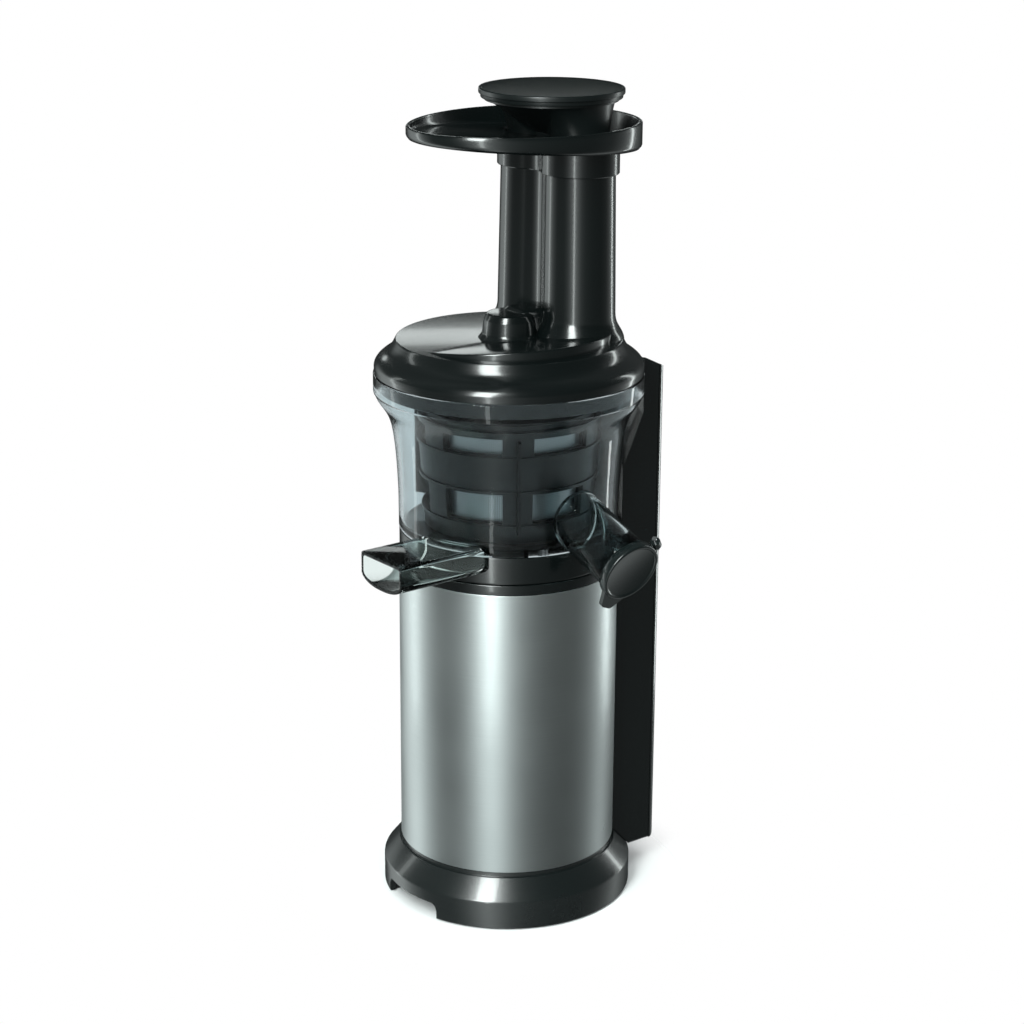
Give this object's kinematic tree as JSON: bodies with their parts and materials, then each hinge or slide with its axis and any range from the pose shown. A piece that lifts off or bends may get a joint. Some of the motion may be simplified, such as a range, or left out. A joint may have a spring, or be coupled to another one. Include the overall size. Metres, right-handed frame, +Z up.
{
  "type": "cold press juicer",
  "caption": "Upright slow juicer: steel motor housing, clear juicing bowl with screw, strainer and wiper, lid with kidney feed tube, hopper tray and pusher.",
  "frame": {"origin": "on the machine axis, at the table top", "axes": "+Z up along the machine axis, -Y out of the juice spout, +Y to the rear column, +X to the pulp outlet"},
  "size_m": [0.1767, 0.177, 0.431],
  "materials": {
    "black_gloss": "glossy",
    "black_matte": "matte",
    "black_satin": "satin",
    "rubber_black": "matte",
    "brushed_steel": "brushed",
    "screw_steel": "polished",
    "stator_iron": "satin",
    "copper_wire": "satin",
    "cast_alloy": "cast",
    "brass": "satin",
    "gear_plastic": "satin",
    "board_green": "satin",
    "smoked_clear": "smoked clear",
    "cap_grey": "satin",
    "silicone": "matte",
    "mesh_steel": "etched"
  },
  "bodies": {
    "housing": {"base_ring": "black_satin", "bottom_cover": "black_matte", "rubber_feet": "rubber_black", "cover_screws": "screw_steel", "steel_sleeve": "brushed_steel", "inner_frame": "black_matte", "vibration_mounts": "rubber_black", "deck_ring": "black_gloss", "deck_seal": "silicone", "column_shell": "black_gloss", "column_cover": "black_gloss", "column_screws": "screw_steel", "cord_inlet": "rubber_black", "control_board": "board_green", "switch_body": "black_matte", "motor_stator": "stator_iron", "motor_windings": "copper_wire", "motor_bracket": "cast_alloy", "motor_bearings": "screw_steel", "gearbox_base": "cast_alloy", "gearbox_cover": "cast_alloy", "gearbox_screws": "screw_steel", "gear_pins": "screw_steel", "output_bearing": "brass"},
    "rotor": {"motor_rotor": "stator_iron", "motor_pinion": "brass", "cooling_fan": "gear_plastic"},
    "gear_a": {"first_gear": "gear_plastic"},
    "gear_b": {"second_gear": "gear_plastic"},
    "output": {"output_gear": "brass", "drive_shaft": "screw_steel"},
    "switch": {"switch_rocker": "black_satin"},
    "bowl_set": {"bowl": "smoked_clear", "bowl_band": "black_gloss", "bowl_seal": "silicone", "juice_spout": "smoked_clear", "pulp_tube": "smoked_clear", "cap_pin": "screw_steel", "idler_pins": "screw_steel", "strainer_frame": "black_satin", "strainer_mesh": "mesh_steel"},
    "cap": {"pulp_cap": "cap_grey", "cap_gasket": "silicone"},
    "idler_a": {"idler_left": "gear_plastic"},
    "idler_b": {"idler_right": "gear_plastic"},
    "wiper": {"wiper_frame": "black_satin", "wiper_blades": "rubber_black"},
    "screw": {"juicing_screw": "black_satin", "screw_gear": "gear_plastic", "screw_pin": "screw_steel"},
    "lid_set": {"lid": "black_gloss", "feed_tube": "black_gloss"},
    "tray": {"hopper_tray": "black_gloss"},
    "pusher": {"pusher_body": "black_satin", "pusher_head": "black_satin"}
  },
  "joints": [
    {"name": "rotor_spin", "type": "hinge", "parent": "housing", "child": "rotor", "pos_m": [0, 0, 0.09], "axis": [0, 0, 1], "continuous": true},
    {"name": "first_gear_spin", "type": "hinge", "parent": "housing", "child": "gear_a", "pos_m": [-0.02425, 0.014, 0.136], "axis": [0, 0, 1], "continuous": true},
    {"name": "second_gear_spin", "type": "hinge", "parent": "housing", "child": "gear_b", "pos_m": [-0.02453, -0.015, 0.146], "axis": [0, 0, 1], "continuous": true},
    {"name": "output_spin", "type": "hinge", "parent": "housing", "child": "output", "pos_m": [0, 0, 0.17], "axis": [0, 0, 1], "continuous": true},
    {"name": "bowl_lift", "type": "slide", "parent": "housing", "child": "bowl_set", "axis": [0, 0, 1], "range_m": [0, 0.1]},
    {"name": "screw_spin", "type": "hinge", "parent": "bowl_set", "child": "screw", "pos_m": [0, 0, 0.215], "axis": [0, 0, 1], "continuous": true},
    {"name": "idler_left_spin", "type": "hinge", "parent": "bowl_set", "child": "idler_a", "pos_m": [-0.0255, 0, 0.21], "axis": [0, 0, 1], "continuous": true},
    {"name": "idler_right_spin", "type": "hinge", "parent": "bowl_set", "child": "idler_b", "pos_m": [0.0255, 0, 0.21], "axis": [0, 0, 1], "continuous": true},
    {"name": "wiper_spin", "type": "hinge", "parent": "bowl_set", "child": "wiper", "pos_m": [0, 0, 0.215], "axis": [0, 0, 1], "continuous": true},
    {"name": "lid_lift", "type": "slide", "parent": "bowl_set", "child": "lid_set", "axis": [0, 0, 1], "range_m": [0, 0.06]},
    {"name": "tray_lift", "type": "slide", "parent": "lid_set", "child": "tray", "axis": [0, 0, 1], "range_m": [0, 0.03]},
    {"name": "pusher_lift", "type": "slide", "parent": "tray", "child": "pusher", "axis": [0, 0, 1], "range_m": [0, 0.11]},
    {"name": "cap_swing", "type": "hinge", "parent": "bowl_set", "child": "cap", "pos_m": [0.09927, 0.01625, 0.21598], "axis": [0.3079, -0.5592, 0.7697], "range_deg": [0, 100]},
    {"name": "switch_rock", "type": "hinge", "parent": "housing", "child": "switch", "pos_m": [0, 0.072, 0.2259], "axis": [1, 0, 0], "range_deg": [-10, 10]}
  ],
  "couplings": [
    {"joint": "first_gear_spin", "follows": "rotor_spin", "ratio": -0.2069},
    {"joint": "second_gear_spin", "follows": "rotor_spin", "ratio": 0.053973},
    {"joint": "output_spin", "follows": "rotor_spin", "ratio": -0.019049},
    {"joint": "screw_spin", "follows": "rotor_spin", "ratio": -0.019049},
    {"joint": "idler_left_spin", "follows": "rotor_spin", "ratio": 0.045718},
    {"joint": "idler_right_spin", "follows": "rotor_spin", "ratio": 0.045718},
    {"joint": "wiper_spin", "follows": "rotor_spin", "ratio": 0.010391}
  ]
}
